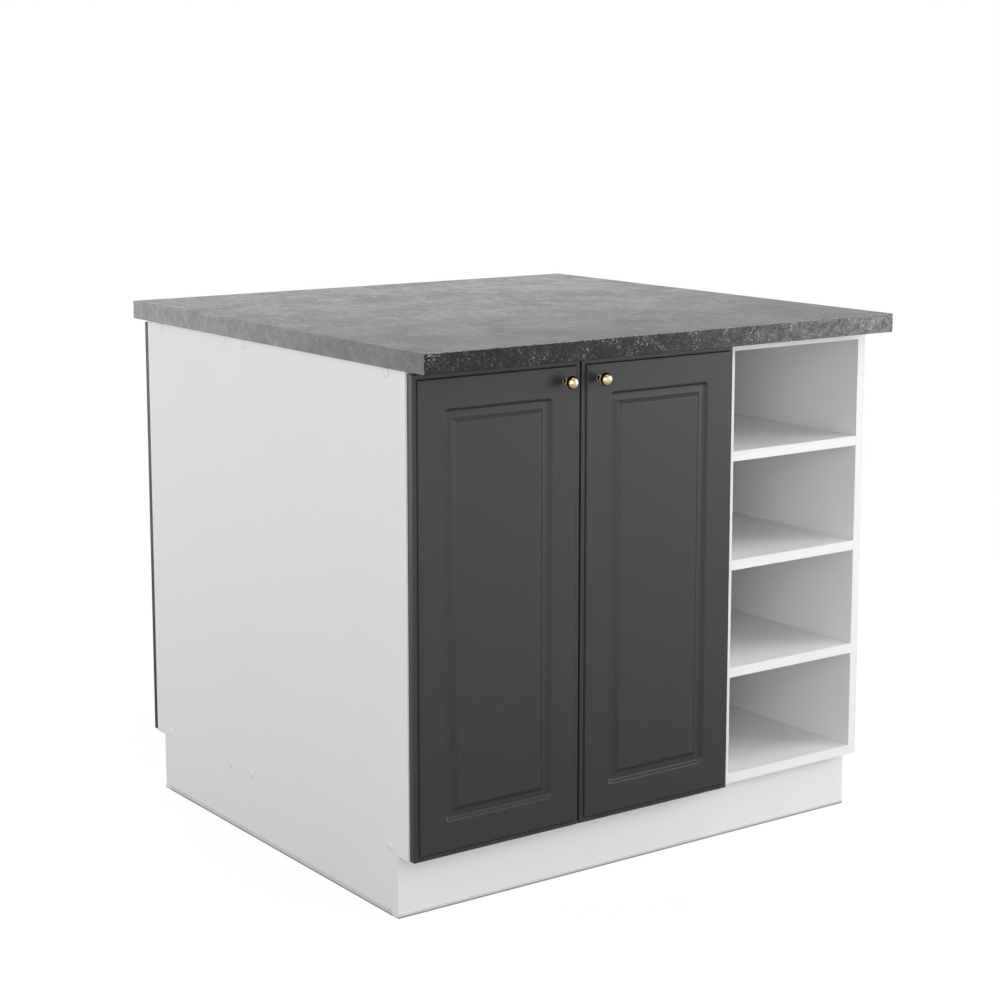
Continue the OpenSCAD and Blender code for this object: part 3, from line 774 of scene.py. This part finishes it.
def make_floor():
    """A pale floor, lifted to white for the camera so that only a soft shadow is left on it."""
    bpy.ops.mesh.primitive_plane_add(size=FLOOR_SIZE, location=(0, 0, 0))
    floor = bpy.context.object
    floor.name = "floor"
    s = Shader("pale_floor", color=(0.36, 0.36, 0.36), roughness=0.9)
    rays = s.node("ShaderNodeLightPath").outputs
    distance = s.node("ShaderNodeVectorMath", operation="LENGTH")
    s.link(s.place, distance.inputs[0])
    away = distance.outputs["Value"]
    seen = s.math("MAXIMUM", rays["Is Camera Ray"], rays["Is Transmission Ray"])
    seen_share = s.math("MULTIPLY", seen, s.spread(away, *FLOOR_FADE, FLOOR_LIFT, 1.0))
    glossy_lift = s.spread(away, *FLOOR_FADE_GLOSSY, FLOOR_LIFT_GLOSSY, 1.0)
    glossy_share = s.math("MULTIPLY", rays["Is Glossy Ray"], glossy_lift)
    glow = s.node("ShaderNodeEmission")
    s.link(s.spread(away, *FLOOR_FADE, FLOOR_LEVEL, 1.0), glow.inputs["Strength"])
    blend = s.node("ShaderNodeMixShader")
    s.link(s.math("MAXIMUM", seen_share, glossy_share), blend.inputs[0])
    s.link(s.surface.outputs[0], blend.inputs[1])
    s.link(glow.outputs[0], blend.inputs[2])
    s.link(blend.outputs[0], s.tree.nodes["Material Output"].inputs["Surface"])
    floor.data.materials.append(s.material)


def make_world():
    """A white surround whose light on the object is set apart from what is seen.

    For mirrored rays it dims high overhead, as under a plain ceiling, which leaves the up-facing slopes of
    the doors' milling dark.
    """
    world = bpy.data.worlds.new("studio")
    world.use_nodes = True
    scene.world = world
    s = Nodes(world.node_tree)
    rays = s.node("ShaderNodeLightPath").outputs
    seen = s.math("MAXIMUM", rays["Is Camera Ray"], rays["Is Glossy Ray"])
    seen = s.math("MAXIMUM", seen, rays["Is Transmission Ray"])
    height = s.axis("Z", s.coordinates["Generated"])
    ceiling = s.spread(height, *CEILING_FADE, 1.0, CEILING_GLOSSY)
    dimming = s.spread(rays["Is Glossy Ray"], 0.0, 1.0, 1.0, ceiling)
    level = s.spread(seen, 0.0, 1.0, WORLD_LEVEL, 1.0)
    background = s.tree.nodes["Background"]
    background.inputs["Color"].default_value = (1, 1, 1, 1)
    s.link(s.math("MULTIPLY", level, dimming), background.inputs["Strength"])


def softbox(name, azimuth, elevation, distance, size, power, gloss):
    """A square lamp that faces the object. Azimuth 0 is in front of it, 90 to its right.

    It is two lamps, one just behind the other, and only the one with the gloss share shows in glossy
    surfaces, so that the satin worktop isn't washed out when the camera looks into the lamp's mirror image.
    """
    around, up = math.radians(azimuth), math.radians(elevation)
    way = Vector((math.sin(around) * math.cos(up), -math.cos(around) * math.cos(up), math.sin(up)))
    for part, share, back in (("matt", 1 - gloss, LAMP_GAP), ("gloss", gloss, 0.0)):
        data = bpy.data.lights.new(name + "_" + part, "AREA")
        data.shape = "SQUARE"
        data.size = size
        data.energy = power * share
        lamp = bpy.data.objects.new(name + "_" + part, data)
        lamp.location = LAMP_AIM + way * (distance + back)
        lamp.rotation_euler = (-way).to_track_quat("-Z", "Y").to_euler()
        lamp.visible_camera = False
        lamp.visible_glossy = part == "gloss"
        scene.collection.objects.link(lamp)


def make_camera():
    data = bpy.data.cameras.new("camera")
    data.lens = CAMERA_LENS
    data.shift_y = CAMERA_SHIFT
    camera = bpy.data.objects.new("camera", data)
    camera.location = CAMERA_PLACE
    camera.rotation_euler = (math.radians(90 - CAMERA_PITCH), 0, math.radians(-CAMERA_YAW))
    scene.collection.objects.link(camera)
    scene.camera = camera


# ---------------------------------------------------------------- the scene

scene.view_settings.view_transform = "Standard"
make_camera()
make_world()
for box in SOFTBOXES:
    softbox(*box)
make_floor()

make_boards()
make_worktop()
make_caps()
make_fittings()
for door in DOORS:
    make_door(door)
    make_knob(door)
